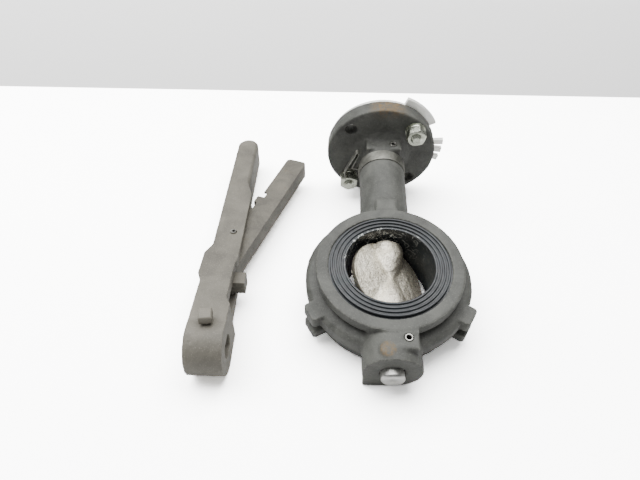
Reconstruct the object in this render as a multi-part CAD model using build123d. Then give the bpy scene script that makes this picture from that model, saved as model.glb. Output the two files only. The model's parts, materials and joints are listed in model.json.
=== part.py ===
from build123d import *
import os
from math import atan, cos, degrees, radians, sin, sqrt

# Wafer butterfly valve, 2 1/2 inch (DN 65), with its squeeze-lever handle taken off and laid beside it.
# Millimetres. Each valve piece is drawn in the valve's own frame: the bore runs along Z, the stem
# runs along Y towards the top flange, and the bore centre is the origin. place_valve() then lays the
# valve down: it rests on the foot pad under its lower boss and on the rim of its top flange.

# ---- rubber seat ----
seat_bore_radius = 33.5
seat_wall = 5.5               # rubber between the bore and the metal
seat_lip_width = 7.5          # the face lip reaches this far past the metal bore
seat_lip_depth = 4.0          # depth of the lip pocket in the metal face
seat_lip_clearance = 0.1
seat_proud = 1.0              # rubber stands this far above the metal face
seat_rib_count = 3
seat_rib_height = 1.2
seat_groove_share = 0.4       # how much of each rib's pitch is groove
seat_edge_groove_depth = 2.6  # deeper groove round the lip's outer edge
rubber_clearance = 0.3        # rubber round the stem, and disc to rubber

# ---- body rings, web and lugs ----
body_half_width = 22.0        # half the metal face to face
gasket_ring_width = 9.5       # flat metal ring outside the lip, front and rear
gasket_ring_depth = 9.0       # depth of a gasket ring behind its face
waist_depth = 4.0             # groove between a ring and the web, below the ring
web_rise = 8.0                # wide middle web, above the gasket ring
web_front = 8.0               # front face of the web
web_back = -7.0               # rear face of the web
rear_ring_rise = 3.0
lug_rise = 14.0               # locating lugs, above the gasket ring
lug_width = 16.0
lug_root = 6.0                # depth of a lug's root inside the waist
lug_angle = 30.5              # lugs stand this far below the cross axis, on both sides
front_lug_back = -3.0
rear_lug_front = -10.5
rear_lug_back = -19.0

# ---- neck, lower boss and top flange ----
neck_radius = 20.5
upper_neck_radius = 18.0
upper_neck_length = 17.4      # narrower part of the neck under the flange
neck_length = 90.4            # from the gasket ring to the flange
lower_boss_radius = 21.5
lower_boss_length = 21.0      # from the gasket ring to the boss's end
foot_left = -20.0             # square foot under the boss's left side
foot_right = 4.0
foot_length = 20.0
pad_height = 21.6             # raised pads round the roll pins, above the stem axis
lower_pad_left = 2.5
lower_pad_right = 17.0
lower_pad_half_length = 9.0
upper_pad_left = -15.0
upper_pad_right = 17.0
upper_pad_length = 7.5        # from the pin towards the neck
upper_pad_drop = 1.0          # it stands this much lower than the lower pad
neck_pad_half_width = 8.8     # small blank pad at the foot of the neck
neck_pad_length = 12.5
medallion_radius = 5.5        # blank round medallion on the boss
medallion_height = 0.7
medallion_left = 4.9
medallion_inset = 8.0         # from the boss's end
flange_thickness = 14.6
flange_radius = 50.8
flange_hub_length = 7.0       # cone between the neck and the flange
flange_hub_rise = 10.0        # its wide end, beyond the upper neck
flange_bolt_share = 0.8125    # bolt circle as a share of the flange's width
flange_hole_radius = 5.55

# ---- stems, bushings and roll pins ----
stem_radius = 9.5
stem_running_fit = 0.05
bushing_wall = 3.0
bushing_length = 16.0
short_bushing_length = 12.0
boss_bushing_length = 10.0
seal_length = 5.0
boss_end_wall = 3.0           # iron left beyond the last bushing
boss_end_clearance = 0.3
bushing_inset = 3.0           # first bushing, above the metal bore
drive_end_length = 30.0       # free stem end above the top flange
stem_shoulder = 1.0           # full radius above the notch plate
journal_step = 0.3            # turned round seat for a gearbox or handle hub
journal_length = 8.0
drive_end_step = 0.8          # turned-down end with two flats
stem_flat_step = 2.5          # depth of each flat
lower_stem_stick_out = 6.0    # bright stem end below the lower boss
lower_end_step = 1.0          # it is turned down by this much
stem_socket_depth = 16.0      # each stem reaches this far into the disc
roll_pin_radius = 3.0
roll_pin_wall = 1.0
roll_pin_overlap = 2.7        # the pin's bore bites this far into the stem
roll_pin_slot = 0.8
upper_pin_inset = 8.4         # below the flange
lower_pin_inset = 17.0        # above the boss's end
pin_groove_clearance = 0.2
pin_top_inset = 0.6           # pin ends below their pads

# ---- disc ----
disc_edge_thickness = 5.0
disc_centre_thickness = 11.0
disc_hub_wall = 4.0           # round the stem ends
disc_nose_wall = 2.0          # round the stem's inner end
disc_waist_radius = 6.5       # saddle between the two hub noses
disc_waist_half = 2.5
disc_flat_inset = 4.0         # the round mouth of the drive socket
disc_open_angle = 33.0        # how far the disc stands open at rest

# ---- notch plate, strap and fasteners ----
plate_thickness = 4.0
plate_inset = 1.8             # plate edge inside the flange's edge
plate_clearance = 2.0         # round the bushing bore
tooth_width = 5.5
tooth_step = 9.7
tooth_count = 3
first_tooth_angle = 3.7
tooth_rise = 11.5             # teeth, past the plate's edge
tooth_root_rise = 2.5
stop_sector_rise = 7.5        # smooth raised edge that stops the tongue
stop_sector_start = 28.0
stop_sector_end = 68.0
bolt_radius = 5.0
bolt_head_height = 6.5
nut_height = 8.4
hex_across_flats = 16.0
split_washer_height = 2.5
split_washer_gap = 1.2
stud_stick_out = 3.0
strap_thickness = 0.8
strap_width = 11.0
strap_inset = 18.4            # band's upper edge, below the flange
loop_width = 5.0
loop_inset = 9.9              # loop's upper edge, below the flange

# ---- handle ----
head_radius = 21.0
head_left = -145.0
head_right = -117.5
head_centre_y = -58.0
head_foot_half_length = 12.0
head_foot_height = 4.5
head_foot_inset = 3.0
grip_left = -144.0
grip_right = -123.5
grip_height = 28.0
grip_end_y = 191.0
grip_start_y = 42.0
cheek_right = -119.5
handle_fillet = 4.0
slot_height = 17.0            # slot that holds the trigger
slot_floor_x = -136.0
slot_near_y = -24.0
slot_far_y = 112.0
socket_clearance = 0.15
window_depth = 3.5            # cut in the right cheek where the tongue comes out
window_far_y = 9.0
bump_height = 3.0
set_screw_radius = 4.0
set_screw_y = -51.0
set_screw_x = -131.0
set_screw_square = 9.5
set_screw_head = 6.5
set_screw_neck = 2.0
set_screw_turn = 8.0
pivot_y = 48.0
pivot_x = -128.0
pivot_radius = 2.5
pivot_stick_out = 1.5         # pin ends stand out of the cheeks

# ---- trigger and its spring ----
trigger_splay = 18.5          # trigger stands this far out from the grip at rest
trigger_length = 123.0
trigger_depth = 20.0
trigger_inner_offset = 2.5    # inner edge of the channel, left of the pivot
trigger_side_clearance = 0.7
trigger_wall = 2.4
trigger_end_wall = 5.0
trigger_pin_fit = 0.05
trigger_hub_wall = 3.0
arm_left = -4.0               # front arm, from the pivot
arm_right = 5.0
tongue_near = 39.0            # tongue, from the pivot towards the head
tongue_far = 51.0
tongue_reach = 15.5           # tongue tip, from the pivot towards the plate
tongue_step = 1.5             # the tongue is this much thinner than the arm, each side
stop_block_start = 49.0
stop_block_end = 58.0
stop_block_rise = 3.0
notch_length = 7.0
brace_length = 38.0           # the outer wall runs on past the pivot into the front arm
spring_side_clearance = 0.5   # spring to the channel's walls
spring_wire = 0.8
spring_coils = 6
spring_end_x = -101.2
spring_y = 86.0


# ---- values worked out from the sizes above ----
body_bore_radius = seat_bore_radius + seat_wall
seat_lip_radius = body_bore_radius + seat_lip_width
gasket_ring_radius = seat_lip_radius + gasket_ring_width
waist_radius = gasket_ring_radius - waist_depth
web_radius = gasket_ring_radius + web_rise
rear_ring_radius = gasket_ring_radius + rear_ring_rise
lug_reach = gasket_ring_radius + lug_rise
flange_underside = gasket_ring_radius + neck_length
lower_boss_end = gasket_ring_radius + lower_boss_length
neck_step = flange_underside - upper_neck_length
tilt = degrees(atan((flange_radius - pad_height) / (flange_underside + lower_boss_end)))
bore_height = flange_radius * cos(radians(tilt)) - flange_underside * sin(radians(tilt))
flange_top = flange_underside + flange_thickness
plate_top = flange_top + plate_thickness
plate_radius = flange_radius - plate_inset
bushing_radius = stem_radius + bushing_wall
journal_radius = stem_radius - journal_step
drive_end_radius = stem_radius - drive_end_step
stem_flat_half = stem_radius - stem_flat_step
drive_end_start = plate_top + stem_shoulder + journal_length
roll_pin_offset = stem_radius + roll_pin_radius - roll_pin_overlap
upper_pin_height = flange_underside - upper_pin_inset
lower_pin_height = lower_boss_end - lower_pin_inset
disc_hub_radius = stem_radius + disc_hub_wall
disc_radius = seat_bore_radius - rubber_clearance
hub_half_length = sqrt(disc_radius ** 2 - disc_hub_radius ** 2)
stem_inner_end = hub_half_length - stem_socket_depth
trigger_height = slot_height - 2 * trigger_side_clearance
spring_radius = trigger_height / 2 - trigger_wall - spring_wire - spring_side_clearance
hole_circle_radius = flange_radius * flange_bolt_share
hole_places = [
    (hole_circle_radius * cos(radians(a)), hole_circle_radius * sin(radians(a)))
    for a in (45, 135, 225, 315)
]
bolt_places = hole_places[0::2]


def along_stem(radius, start, end, x=0.0, z=0.0):
    """A cylinder parallel to the stem, from start to end."""
    solid = Cylinder(radius, end - start)
    return Pos(x, (start + end) / 2, z) * Rot(90, 0, 0) * solid


def along_bore(radius, start, end, x=0.0, y=0.0):
    """A cylinder parallel to the bore, from start to end."""
    return Pos(x, y, (start + end) / 2) * Cylinder(radius, end - start)


def along_cross(radius, start, end, y, z):
    """A cylinder along X, from start to end."""
    return Pos((start + end) / 2, y, z) * Rot(0, 90, 0) * Cylinder(radius, end - start)


def block(x_low, x_high, y_low, y_high, z_low, z_high):
    """A box between two corners."""
    solid = Box(x_high - x_low, y_high - y_low, z_high - z_low)
    return Pos((x_low + x_high) / 2, (y_low + y_high) / 2, (z_low + z_high) / 2) * solid


def turned(outline, axis):
    """A solid of revolution from (radius, height) corners; axis is "bore" or "stem"."""
    if axis == "bore":
        face = make_face(Polyline([(r, 0, h) for r, h in outline], close=True))
        return revolve(face, Axis.Z)
    face = make_face(Polyline([(r, h, 0) for r, h in outline], close=True))
    return revolve(face, Axis.Y)


def hex_prism(across_flats, height):
    """A hexagonal prism with its lower face on z = 0."""
    radius = across_flats / sqrt(3)
    prism = extrude(RegularPolygon(radius, 6), height)
    cone = Cone(radius + height * 0.5, radius * 0.93, height, align=(Align.CENTER, Align.CENTER, Align.MIN))
    return prism & cone


# ---- body ----
def lug(angle, back, front):
    """One radial lug of the body."""
    inner = waist_radius - lug_root
    shape = block(inner, lug_reach, -lug_width / 2, lug_width / 2, back, front)
    shape = fillet(shape.edges().filter_by(Axis.Z).group_by(Axis.X)[-1], 2.5)
    return Rot(0, 0, angle) * shape


def body_shell():
    """Rings, waist grooves and web, solid all through."""
    front_ring = body_half_width - gasket_ring_depth
    outline = [
        (0, -body_half_width),
        (rear_ring_radius - 1, -body_half_width),
        (rear_ring_radius, -body_half_width + 1),
        (rear_ring_radius, -front_ring),
        (waist_radius, -front_ring + 2),
        (waist_radius, web_back - 2),
        (web_radius - 2, web_back),
        (web_radius, web_back + 2),
        (web_radius, web_front - 3),
        (web_radius - 3, web_front),
        (waist_radius, web_front + 2),
        (waist_radius, front_ring),
        (gasket_ring_radius - 0.5, front_ring),
        (gasket_ring_radius, front_ring + 0.5),
        (gasket_ring_radius, body_half_width - 0.8),
        (gasket_ring_radius - 0.8, body_half_width),
        (0, body_half_width),
    ]
    return turned(outline, "bore")


def raised_pads():
    """Pads round the roll pins, the blank pad on the neck and the blank medallion on the boss."""
    near = -lower_pin_height - lower_pad_half_length
    far = -lower_pin_height + lower_pad_half_length
    pads = block(lower_pad_left, lower_pad_right, near, far, 0, pad_height)
    low = upper_pin_height - upper_pad_length
    top = pad_height - upper_pad_drop
    pads += block(upper_pad_left, upper_pad_right, low, flange_underside + 1, 0, top)
    neck_pad_end = gasket_ring_radius + neck_pad_length
    pads += block(
        -neck_pad_half_width, neck_pad_half_width, gasket_ring_radius, neck_pad_end, 0, neck_radius + 1
    )
    medallion_top = lower_boss_radius + medallion_height
    return pads + along_bore(
        medallion_radius, 0, medallion_top, -medallion_left, medallion_inset - lower_boss_end
    )


def body_casting():
    """The cast iron body: rings, lugs, neck, top flange and lower boss in one piece."""
    body = body_shell()
    for angle in (-lug_angle, 180 + lug_angle):
        body += lug(angle, front_lug_back, web_front)
        body += lug(angle, rear_lug_back, rear_lug_front)
    inner = body_bore_radius + 5
    body += along_stem(neck_radius, inner, neck_step)
    body += along_stem(upper_neck_radius, neck_step, flange_underside + 1)
    hub = Cone(upper_neck_radius + flange_hub_rise, upper_neck_radius, flange_hub_length)
    body += Pos(0, flange_underside - flange_hub_length / 2, 0) * Rot(90, 0, 0) * hub
    rim = Cylinder(flange_radius, flange_thickness)
    rim = fillet(rim.edges().filter_by(GeomType.CIRCLE), 1.5)
    body += Pos(0, flange_underside + flange_thickness / 2, 0) * Rot(90, 0, 0) * rim
    body += along_stem(lower_boss_radius, -lower_boss_end, -inner)
    foot_near = foot_length - lower_boss_end
    body += block(foot_left, foot_right, -lower_boss_end, foot_near, -pad_height, 0)
    body += raised_pads()
    # rubber seat pocket and lip recesses
    body -= along_bore(body_bore_radius, -body_half_width - 1, body_half_width + 1)
    for sign in (1, -1):
        low, high = sorted((sign * (body_half_width - seat_lip_depth), sign * (body_half_width + 1)))
        body -= along_bore(seat_lip_radius + seat_lip_clearance, low, high)
    # stem bore, flange holes and roll pin holes
    body -= along_stem(bushing_radius, inner - 10, flange_top + 1)
    body -= along_stem(bushing_radius, -lower_boss_end + boss_end_wall, -inner + 10)
    body -= along_stem(stem_radius - lower_end_step + boss_end_clearance, -lower_boss_end - 1, -inner)
    for x, z in hole_places:
        body -= along_stem(flange_hole_radius, flange_underside - flange_hub_length - 2, flange_top + 1, x, z)
    for height in (upper_pin_height, -lower_pin_height):
        body -= along_bore(roll_pin_radius, -neck_radius - 10, neck_radius + 10, roll_pin_offset, height)
    return body


# ---- rubber seat ----
def seat_liner():
    """The moulded rubber seat: bore liner, two ribbed face lips and two stem holes."""
    top = body_half_width + seat_proud
    lip_back = body_half_width - seat_lip_depth
    liner = along_bore(body_bore_radius, -lip_back, lip_back)
    for sign in (1, -1):
        low, high = sorted((sign * lip_back, sign * top))
        liner += along_bore(seat_lip_radius, low, high)
    rib_pitch = (seat_lip_radius - seat_bore_radius) / (seat_rib_count + 1)
    for sign in (1, -1):
        for index in range(seat_rib_count + 1):
            depth = seat_edge_groove_depth if index == seat_rib_count else seat_rib_height
            outer = seat_bore_radius + (index + 1) * rib_pitch
            low, high = sorted((sign * (top - depth), sign * (top + 1)))
            inner = outer - rib_pitch * seat_groove_share
            liner -= along_bore(outer, low, high) - along_bore(inner, low, high)
    liner -= along_bore(seat_bore_radius, -top - 1, top + 1)
    hole = stem_radius + rubber_clearance
    liner -= along_stem(hole, seat_bore_radius - 5, body_bore_radius + 5)
    liner -= along_stem(hole, -body_bore_radius - 5, -seat_bore_radius + 5)
    return liner


# ---- disc and stems ----
def disc_hub():
    """Hub of the disc, turned about the stem: two noses with a saddle between them."""
    end = hub_half_length
    full = (stem_inner_end + hub_half_length) / 2
    nose = stem_radius + disc_nose_wall
    outline = [
        (0, -end),
        (disc_hub_radius, -end),
        (disc_hub_radius, -full),
        (nose, -stem_inner_end),
        (disc_waist_radius, -disc_waist_half),
        (disc_waist_radius, disc_waist_half),
        (nose, stem_inner_end),
        (disc_hub_radius, full),
        (disc_hub_radius, end),
        (0, end),
    ]
    return turned(outline, "stem")


def disc_plate():
    """The dished plate of the disc, thickest at its middle."""
    half_edge = disc_edge_thickness / 2
    half_centre = disc_centre_thickness / 2
    outline = [
        (0, -half_centre),
        (disc_radius * 0.5, -half_centre + 0.8),
        (disc_radius - 2, -half_edge),
        (disc_radius, -half_edge),
        (disc_radius, half_edge),
        (disc_radius - 2, half_edge),
        (disc_radius * 0.5, half_centre - 0.8),
        (0, half_centre),
    ]
    return turned(outline, "bore") & Sphere(disc_radius)


def disc():
    """The cast disc with sockets for both stems, swung to its resting angle."""
    shape = disc_plate() + disc_hub()
    socket = stem_radius + stem_running_fit
    shape -= along_stem(socket, -disc_radius - 1, -stem_inner_end)
    flats = stem_flat_half + stem_running_fit
    drive = along_stem(socket, stem_inner_end, hub_half_length + 1)
    drive &= block(-socket, socket, stem_inner_end, hub_half_length + 1, -flats, flats)
    drive += along_stem(socket, hub_half_length - disc_flat_inset, disc_radius + 1)
    shape -= drive
    return Rot(0, disc_open_angle, 0) * shape


def pin_groove(height):
    """The ring groove that a roll pin holds a stem by."""
    half = roll_pin_radius + pin_groove_clearance
    root = roll_pin_offset - roll_pin_radius - pin_groove_clearance
    return along_stem(stem_radius + 1, height - half, height + half) - along_stem(root, height - half, height + half)


def upper_stem():
    """The drive stem: flats in the disc at one end, flats for the handle at the other."""
    top = flange_top + drive_end_length
    stem = along_stem(stem_radius, stem_inner_end, plate_top + stem_shoulder)
    stem += along_stem(journal_radius, plate_top, drive_end_start)
    stem += along_stem(drive_end_radius, plate_top, top)
    stem = chamfer(stem.edges().group_by(Axis.Y)[-1], 1)
    flat_end = hub_half_length - disc_flat_inset + 0.2
    for sign in (1, -1):
        near, far = sorted((sign * stem_flat_half, sign * (stem_radius + 1)))
        stem -= block(-stem_radius, stem_radius, stem_inner_end - 1, flat_end, near, far)
        stem -= block(-stem_radius, stem_radius, drive_end_start, top + 1, near, far)
    stem -= pin_groove(upper_pin_height)
    return Rot(0, disc_open_angle, 0) * stem


def lower_stem():
    """The plain lower stem that the disc turns on."""
    end = -lower_boss_end - lower_stem_stick_out
    stem = along_stem(stem_radius, -lower_boss_end + boss_end_wall, -stem_inner_end)
    stem += along_stem(stem_radius - lower_end_step, end, -stem_inner_end)
    stem = chamfer(stem.edges().group_by(Axis.Y)[0], 1.5)
    return stem - pin_groove(-lower_pin_height)


def sleeve(start, end):
    """A ring that fills the space between a stem and its bore."""
    return along_stem(bushing_radius, start, end) - along_stem(stem_radius + stem_running_fit, start - 1, end + 1)


def bushings():
    """Each stem bushing and seal, by name."""
    inner = body_bore_radius + bushing_inset
    seal_start = inner + bushing_length
    pin_top = upper_pin_height + roll_pin_radius + 3
    seal_low = pin_top + short_bushing_length
    boss_low = -lower_boss_end + boss_end_wall
    return {
        "neck_lower_bushing": sleeve(inner, seal_start),
        "neck_stem_seal": sleeve(seal_start, seal_start + seal_length),
        "neck_top_bushing": sleeve(pin_top, seal_low),
        "neck_top_seal": sleeve(seal_low, flange_top - 1),
        "lower_stem_bushing": sleeve(-lower_pin_height + roll_pin_radius + 4, -inner),
        "lower_boss_bushing": sleeve(boss_low, boss_low + boss_bushing_length),
    }


def roll_pin(height, reach):
    """A slotted spring pin that crosses the stem's groove."""
    pin = along_bore(roll_pin_radius, -reach, reach, roll_pin_offset, height)
    pin -= along_bore(roll_pin_radius - roll_pin_wall, -reach - 1, reach + 1, roll_pin_offset, height)
    half_slot = roll_pin_slot / 2
    slot = block(0, roll_pin_radius + 1, -half_slot, half_slot, -reach - 1, reach + 1)
    return pin - Pos(roll_pin_offset, height, 0) * slot


# ---- notch plate, strap and fasteners ----
def plate_sector(radius, first, last):
    """A pie slice of the plate between two angles, counted from the cross axis towards the front."""
    reach = 2 * radius
    corners = [(0, 0)] + [
        (reach * cos(radians(a)), reach * sin(radians(a))) for a in (first, (first + last) / 2, last)
    ]
    wedge = extrude(make_face(Polyline(corners, close=True)), plate_thickness)
    wedge = Pos(0, plate_top, 0) * Rot(90, 0, 0) * wedge
    return along_stem(radius, flange_top, plate_top) & wedge


def notch_plate():
    """The notched plate on top of the flange that the trigger's tongue drops into."""
    low, high = flange_top, plate_top
    plate = along_stem(plate_radius, low, high)
    plate += plate_sector(plate_radius + stop_sector_rise, stop_sector_start, stop_sector_end)
    last_tooth = first_tooth_angle - tooth_step * (tooth_count - 1)
    plate += plate_sector(plate_radius + tooth_root_rise, last_tooth - 2, first_tooth_angle + 2)
    tooth_tip = plate_radius + tooth_rise
    tooth = block(plate_radius - 4, tooth_tip, low, high, -tooth_width / 2, tooth_width / 2)
    for index in range(tooth_count):
        plate += Rot(0, -(first_tooth_angle - index * tooth_step), 0) * tooth
    plate -= along_stem(bushing_radius + plate_clearance, low - 1, high + 1)
    for x, z in hole_places:
        plate -= along_stem(flange_hole_radius, low - 1, high + 1, x, z)
    return plate


def plate_bolts():
    """Two hexagon bolts with their heads on the notch plate."""
    end = flange_underside - strap_thickness - split_washer_height - nut_height - stud_stick_out
    solids = []
    for x, z in bolt_places:
        shank = along_stem(bolt_radius, end, plate_top, x, z)
        shank = chamfer(shank.edges().group_by(Axis.Y)[0], 1)
        head = Pos(x, plate_top, z) * Rot(-90, 0, 0) * hex_prism(hex_across_flats, bolt_head_height)
        solids.append(shank + head)
    return solids


def plate_nuts():
    """Two hexagon nuts on the bolts, below the flange."""
    top = flange_underside - strap_thickness - split_washer_height
    solids = []
    for x, z in bolt_places:
        nut = Pos(x, top, z) * Rot(90, 0, 0) * Rot(0, 0, 15) * hex_prism(hex_across_flats, nut_height)
        solids.append(nut - along_stem(bolt_radius, top - nut_height - 1, top + 1, x, z))
    return solids


def split_washers():
    """Two spring washers, each cut through once."""
    top = flange_underside - strap_thickness
    solids = []
    for x, z in bolt_places:
        ring = along_stem(hex_across_flats / 2 + 0.5, top - split_washer_height, top, x, z)
        ring -= along_stem(bolt_radius, top - split_washer_height - 1, top + 1, x, z)
        half_gap = split_washer_gap / 2
        cut = block(0, hex_across_flats, top - split_washer_height - 1, top + 1, -half_gap, half_gap)
        solids.append(ring - Pos(x, 0, z) * cut)
    return solids


def upper_flat_washer():
    """Thin flat washer under the upper nut, as thick as the strap's tab under the lower one."""
    x, z = bolt_places[0]
    low, high = flange_underside - strap_thickness, flange_underside
    return along_stem(hex_across_flats / 2 + 1, low, high, x, z) - along_stem(bolt_radius, low - 1, high + 1, x, z)


def neck_strap():
    """Sheet strap: a band round the neck, a bent loop, and a tab clamped under the lower nut."""
    inside, outside = neck_radius, neck_radius + strap_thickness
    band_top = flange_underside - strap_inset
    band = along_stem(outside, band_top - strap_width, band_top)
    band -= along_stem(inside, band_top - strap_width - 1, band_top + 1)
    loop_high = flange_underside - loop_inset
    t = strap_thickness
    x, z = bolt_places[1]
    leg_left, leg_z = -outside - 12.3, z + 10.2
    leaf = [
        (-outside + 0.9, -7.0),
        (-outside - 6.2, -5.8),
        (-outside - 0.1, 12.0),
        (-outside - 2.3, 13.8),
        (-outside - 12.7, -11.5),
        (-outside - 11.7, leg_z),
    ]
    ribbon = trace(FilletPolyline(leaf, radius=0.9), t)
    loop = Pos(0, loop_high, 0) * Rot(90, 0, 0) * extrude(ribbon, loop_width)
    riser = block(-outside, -outside + 1.1, band_top - 3, loop_high, -8.2, -3.5)
    leg = block(leg_left, leg_left + 1.2, loop_high - loop_width, flange_underside, leg_z - 1.3, leg_z + 1.2)
    tab = along_stem(hex_across_flats / 2 + 1, flange_underside - t, flange_underside, x, z)
    tab += block(leg_left, x + 5, flange_underside - t, flange_underside, z + 1, leg_z + 0.5)
    tab -= along_stem(bolt_radius, flange_underside - 5, flange_underside + 5, x, z)
    return band + riser + loop + leg + tab


# ---- handle ----
def handle_plan():
    """The handle's outline seen along Z, as a prism."""
    width = grip_right - grip_left
    end = grip_end_y - width / 2
    near = head_centre_y - head_radius - 5
    corners = [
        (head_left, near),
        (head_right, near),
        (head_right, slot_near_y - 10),
        (head_right - window_depth, slot_near_y - 3),
        (head_right - window_depth, window_far_y),
        (cheek_right, window_far_y + 4),
        (cheek_right, slot_far_y - 12),
        (grip_right, slot_far_y),
        (grip_right, end),
        (grip_left, end),
        (grip_left, window_far_y + 21),
        (head_left - bump_height, window_far_y + 13),
        (head_left - bump_height, window_far_y - 11),
        (head_left, window_far_y - 17),
    ]
    height = 2 * head_radius + 6
    prism = extrude(make_face(Polyline(corners, close=True)), height)
    prism += Pos((grip_left + grip_right) / 2, end, height / 2) * Cylinder(width / 2, height)
    return Pos(0, 0, -3) * prism


def handle_side():
    """The handle's outline seen along X, as a prism."""
    low = head_radius - grip_height / 2
    high = head_radius + grip_height / 2
    reach = head_radius * 0.97
    corners = [
        (head_centre_y, head_radius - reach),
        (grip_start_y, low),
        (grip_end_y, low),
        (grip_end_y, high),
        (grip_start_y, high),
        (head_centre_y, head_radius + reach),
    ]
    start = head_left - 6
    side = make_face(Polyline([(start, y, z) for y, z in corners], close=True))
    prism = extrude(side, head_right + 6 - start, dir=(1, 0, 0))
    return prism + along_cross(head_radius, start, head_right + 6, head_centre_y, head_radius)


def handle_casting():
    """The cast lever: round head with the stem socket, slot for the trigger, and a long grip."""
    shape = handle_plan() & handle_side()
    shape += block(
        head_left + head_foot_inset,
        head_right - head_foot_inset,
        head_centre_y - head_foot_half_length,
        head_centre_y + head_foot_half_length,
        0,
        head_foot_height,
    )
    grip_edges = shape.edges().filter_by(Axis.Y).filter_by(lambda e: e.center().Y > slot_far_y)
    shape = fillet(grip_edges, handle_fillet)
    half_slot = slot_height / 2
    shape -= block(
        slot_floor_x, head_right + 10, slot_near_y, slot_far_y, head_radius - half_slot, head_radius + half_slot
    )
    socket = drive_end_radius + socket_clearance
    flats = stem_flat_half + socket_clearance
    bore = along_cross(socket, head_left - 1, head_right + 1, head_centre_y, head_radius)
    shape -= bore & block(-200, 0, -200, 0, head_radius - flats, head_radius + flats)
    shape -= Pos(set_screw_x, set_screw_y, head_radius + 12) * Cylinder(set_screw_radius, 24)
    shape -= Pos(pivot_x, pivot_y, head_radius) * Cylinder(pivot_radius, 2 * head_radius)
    return shape


def handle_set_screw():
    """The square-headed screw that grips the stem's flat."""
    tip = head_radius + stem_flat_half + socket_clearance + 0.05
    top = 2 * head_radius
    shank = Cylinder(set_screw_radius, top + set_screw_neck - tip, align=(Align.CENTER, Align.CENTER, Align.MIN))
    shape = Pos(0, 0, tip) * shank
    head = Box(set_screw_square, set_screw_square, set_screw_head)
    head = chamfer(head.edges().group_by(Axis.Z)[-1], 0.8)
    shape += Pos(0, 0, top + set_screw_neck + set_screw_head / 2) * Rot(0, 0, set_screw_turn) * head
    return Pos(set_screw_x, set_screw_y, 0) * shape


def trigger_pivot_pin():
    """The roll pin that the trigger swings on."""
    length = grip_height + 2 * pivot_stick_out
    pin = Cylinder(pivot_radius, length) - Cylinder(pivot_radius - roll_pin_wall, length + 2)
    pin -= Pos(pivot_radius, 0, 0) * Box(2 * pivot_radius, roll_pin_slot, length + 2)
    return Pos(pivot_x, pivot_y, head_radius) * pin


# ---- trigger and its spring ----
def trigger():
    """The squeeze lever: channel tail, hub on the pin, front arm and the tongue."""
    half = trigger_height / 2
    left = -trigger_inner_offset
    right = trigger_depth - trigger_inner_offset
    far = trigger_length
    tail = block(left, right, 8, far, -half, half)
    tail += block(4, right, -brace_length, 9, -half, half)
    tail = fillet(tail.edges().filter_by(Axis.Z).group_by(Axis.Y)[-1], 4)
    inner = half - trigger_wall
    tail -= block(left - 1, right - trigger_wall, 20, stop_block_start, -inner, inner)
    tail -= block(left - 1, right - trigger_wall, stop_block_end, far - trigger_end_wall, -inner, inner)
    tail -= block(left - 1, left + 3.5, stop_block_end, stop_block_end + notch_length, -half - 1, half + 1)
    tail += block(left - stop_block_rise, left + 4, stop_block_start, stop_block_end, -half, half)
    shape = Rot(0, 0, -trigger_splay) * tail
    shape += Cylinder(pivot_radius + trigger_hub_wall, trigger_height)
    shape -= block(arm_right - 40, arm_left, -tongue_far, -trigger_hub_wall, -half - 1, half + 1)
    shape += block(arm_left, arm_right, -tongue_far, 10, -half, half)
    thin = half - tongue_step
    shape += block(arm_left, tongue_reach, -tongue_far, -tongue_near, -thin, thin)
    shape -= Cylinder(pivot_radius + trigger_pin_fit, trigger_height + 2)
    return Pos(pivot_x, pivot_y, head_radius) * shape


def trigger_spring():
    """The compression spring between the slot's floor and the trigger's web."""
    length = spring_end_x - slot_floor_x
    path = Helix(length / spring_coils, length - 2 * spring_wire, spring_radius)
    profile = Plane(origin=path @ 0, z_dir=path % 0) * Circle(spring_wire)
    coil = sweep(profile, path, is_frenet=True)
    place = Pos(slot_floor_x + spring_wire, spring_y, head_radius) * Rot(0, 90, 0)
    return place * coil


# ---- placing and writing ----
def place_valve(solid):
    """Lay a valve piece down: stem along Y, tilted so that foot and flange rim touch the ground."""
    return Pos(0, 0, bore_height) * Rot(tilt, 0, 0) * solid


valve_nodes = {
    "body_casting": body_casting(),
    "seat_liner": seat_liner(),
    "disc": disc(),
    "upper_stem": upper_stem(),
    "lower_stem": lower_stem(),
    "neck_roll_pin": roll_pin(upper_pin_height, pad_height - upper_pad_drop - pin_top_inset),
    "boss_roll_pin": roll_pin(-lower_pin_height, pad_height - pin_top_inset),
    "notch_plate": notch_plate(),
    "plate_bolts": plate_bolts(),
    "plate_nuts": plate_nuts(),
    "split_washers": split_washers(),
    "upper_flat_washer": upper_flat_washer(),
    "neck_strap": neck_strap(),
}
valve_nodes.update(bushings())
handle_nodes = {
    "handle_casting": handle_casting(),
    "handle_set_screw": handle_set_screw(),
    "trigger_pivot_pin": trigger_pivot_pin(),
    "trigger": trigger(),
    "trigger_spring": trigger_spring(),
}


def as_compound(shape):
    """One exportable shape from a solid, a sketchless part or a list of solids."""
    return Compound(list(shape)) if isinstance(shape, list) else shape


placed = {name: place_valve(as_compound(shape)) for name, shape in valve_nodes.items()}
placed.update({name: as_compound(shape) for name, shape in handle_nodes.items()})
everything = Compound(list(placed.values())).bounding_box()
to_origin = Pos(-everything.center().X, -everything.center().Y, -everything.min.Z)

os.makedirs("parts", exist_ok=True)
for name, shape in placed.items():
    export_step(to_origin * shape, "parts/" + name + ".step")

bore = to_origin.position + Vector(0, 0, bore_height)
pivot = to_origin.position + Vector(pivot_x, pivot_y, head_radius)
print("tilt", round(tilt, 5), "bore centre", bore, "trigger pivot", pivot)
print("size", everything.size, "low", everything.min.Z)
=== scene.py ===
import bpy
import bmesh
import json
import math
import numpy as np
from mathutils import Matrix, Vector, noise


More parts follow.
